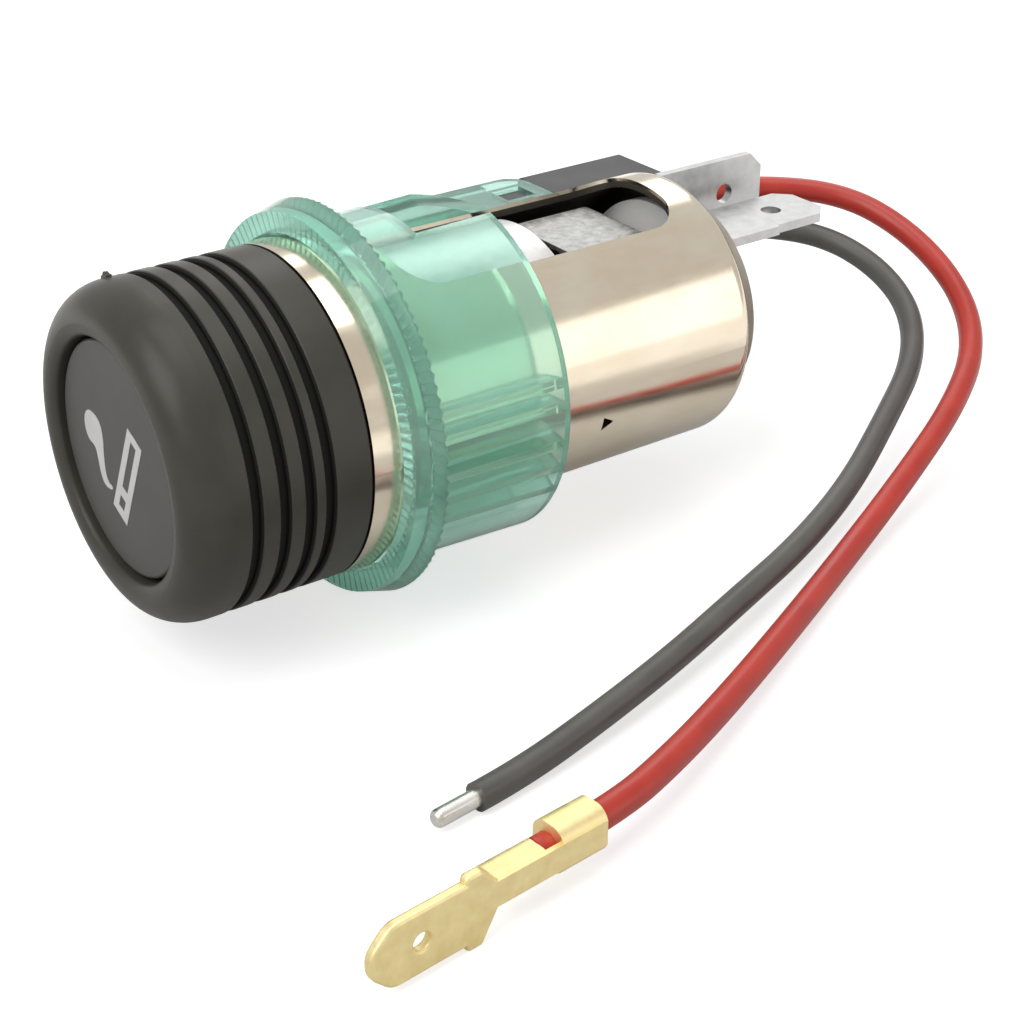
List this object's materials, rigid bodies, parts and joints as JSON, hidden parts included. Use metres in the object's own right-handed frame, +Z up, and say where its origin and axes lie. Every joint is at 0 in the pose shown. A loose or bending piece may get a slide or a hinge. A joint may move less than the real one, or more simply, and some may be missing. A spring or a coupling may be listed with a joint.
{
  "type": "car cigarette lighter",
  "caption": "Push-in car cigarette lighter in a plated socket with a translucent mounting ring, side lamp holder, blade terminals and loose lamp leads.",
  "frame": {"origin": "on the lighter's axis at the back of the ring's flange, where the panel seats", "axes": "+Y along the axis from the knob to the terminals, +Z up through the shell's window, +X to the side away from the lamp channel"},
  "size_m": [0.0651, 0.0943, 0.032],
  "materials": {
    "nickel": "bright nickel plate with a warm tone",
    "ring_green": "glossy translucent teal green moulding",
    "holder_grey": "satin dark grey moulding",
    "bulb_glass": "clear glass",
    "tinned": "pale tinned strip with bright edges",
    "knob_black": "satin black moulding",
    "cap_grey": "satin dark grey cap",
    "bright_steel": "bright plated steel",
    "spring_steel": "drawn spring wire",
    "insulator": "light grey insulating board",
    "element": "oxidised resistance strip",
    "bimetal": "mottled matte strip",
    "rear_board": "pale insulating board",
    "red_pvc": "soft red insulation with a sheen",
    "black_pvc": "soft dark grey insulation with a sheen",
    "solder": "tinned copper strands",
    "brass_strip": "satin yellow brass"
  },
  "bodies": {
    "socket": {"socket_shell": "nickel", "light_ring": "ring_green", "lamp_holder": "holder_grey", "lamp_bulb": "bulb_glass", "lamp_contacts": "tinned", "bimetal_clip": "bimetal", "inner_insulator": "insulator", "contact_rivet": "bright_steel", "rear_insulator": "rear_board", "positive_terminal": "tinned", "negative_terminal": "tinned", "ground_rivet": "tinned", "red_wire": "red_pvc", "black_wire": "black_pvc", "black_wire_tip": "solder", "spade_terminal": "brass_strip", "red_conductor": "solder"},
    "barrel": {"plug_barrel": "bright_steel", "return_spring": "spring_steel"},
    "knob": {"knob": "knob_black", "knob_cap": "cap_grey", "trim_ring": "nickel", "centre_stud": "bright_steel", "stop_washer": "bright_steel", "stud_nut": "bright_steel", "heating_cup": "bright_steel", "coil_insulator": "insulator", "coil_rivet": "bright_steel", "heating_coil": "element"}
  },
  "joints": [
    {"name": "plug_pull", "type": "slide", "parent": "socket", "child": "barrel", "axis": [0, -1, 0], "range_m": [0, 0.04]},
    {"name": "knob_push", "type": "slide", "parent": "barrel", "child": "knob", "axis": [0, 1, 0], "range_m": [0, 0.002], "stiffness_N_per_m": 900, "springref_m": -0.004, "deforming": ["return_spring"]}
  ]
}
